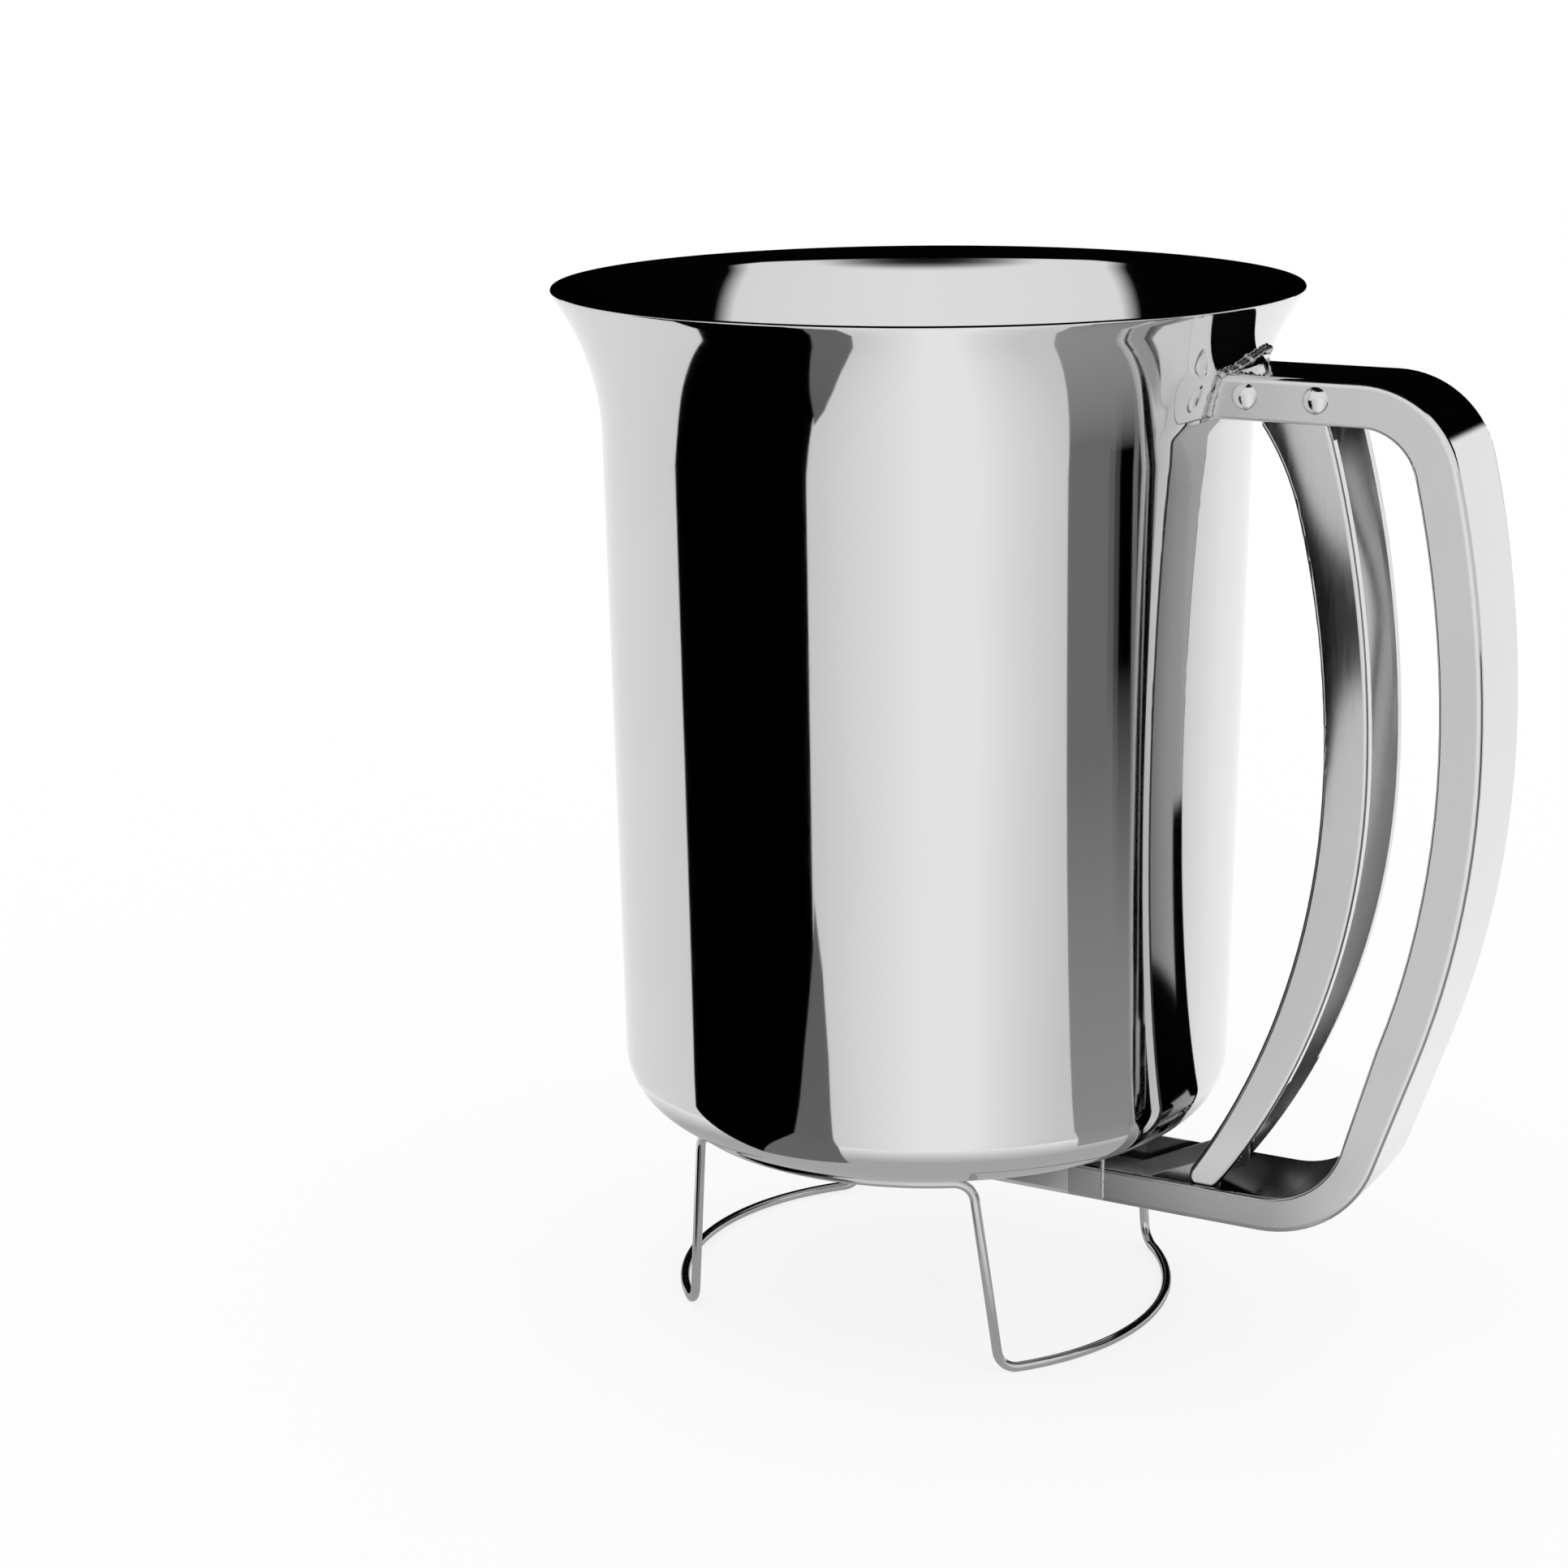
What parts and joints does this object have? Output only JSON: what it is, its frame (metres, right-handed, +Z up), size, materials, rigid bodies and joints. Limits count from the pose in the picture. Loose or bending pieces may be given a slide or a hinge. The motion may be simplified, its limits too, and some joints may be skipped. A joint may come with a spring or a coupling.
{
  "type": "pancake batter dispenser",
  "caption": "Flared steel vessel whose folded channel handle holds a squeeze trigger that draws a slide gate off the outlet in its base, on a loose stand of bent wire.",
  "frame": {"origin": "on the floor, under the middle of the whole; the vessel's axis is 18.5 mm from it towards -X", "axes": "+Z up, +X from the vessel towards the grip, +Y to the left of someone who looks along +X"},
  "size_m": [0.1578, 0.1209, 0.1721],
  "materials": {
    "vessel_steel": "mirror polished stainless steel",
    "handle_steel": "polished stainless steel, slightly satin on the grip",
    "trigger_steel": "polished stainless steel, slightly satin",
    "fitting_steel": "plain rolled stainless steel",
    "rivet_steel": "polished stainless steel",
    "spring_steel": "drawn spring wire",
    "stand_steel": "polished stainless steel wire"
  },
  "bodies": {
    "stand": {"wire_stand": "stand_steel"},
    "dispenser": {"vessel": "vessel_steel", "outlet_collar": "fitting_steel", "handle": "handle_steel", "arm_bracket": "fitting_steel", "bracket_rivet": "rivet_steel", "pivot_rivet": "rivet_steel", "return_spring": "spring_steel"},
    "trigger": {"trigger": "trigger_steel", "gate_pin": "rivet_steel"},
    "gate": {"slide_gate": "fitting_steel"}
  },
  "joints": [
    {"name": "lift_off", "type": "slide", "parent": "stand", "child": "dispenser", "axis": [0, 0, 1], "range_m": [0, 0.08]},
    {"name": "trigger_pivot", "type": "hinge", "parent": "dispenser", "child": "trigger", "pos_m": [0.05105, 0, 0.15815], "axis": [0, -1, 0], "range_deg": [0, 7.5], "stiffness_Nm_per_rad": 1.5, "springref_deg": -5.73, "deforming": ["return_spring"]},
    {"name": "gate_slide", "type": "slide", "parent": "dispenser", "child": "gate", "axis": [1, 0, 0], "range_m": [0, 0.0168]}
  ],
  "couplings": [
    {"joint": "gate_slide", "follows": "trigger_pivot", "m_per_rad": 0.12783}
  ]
}
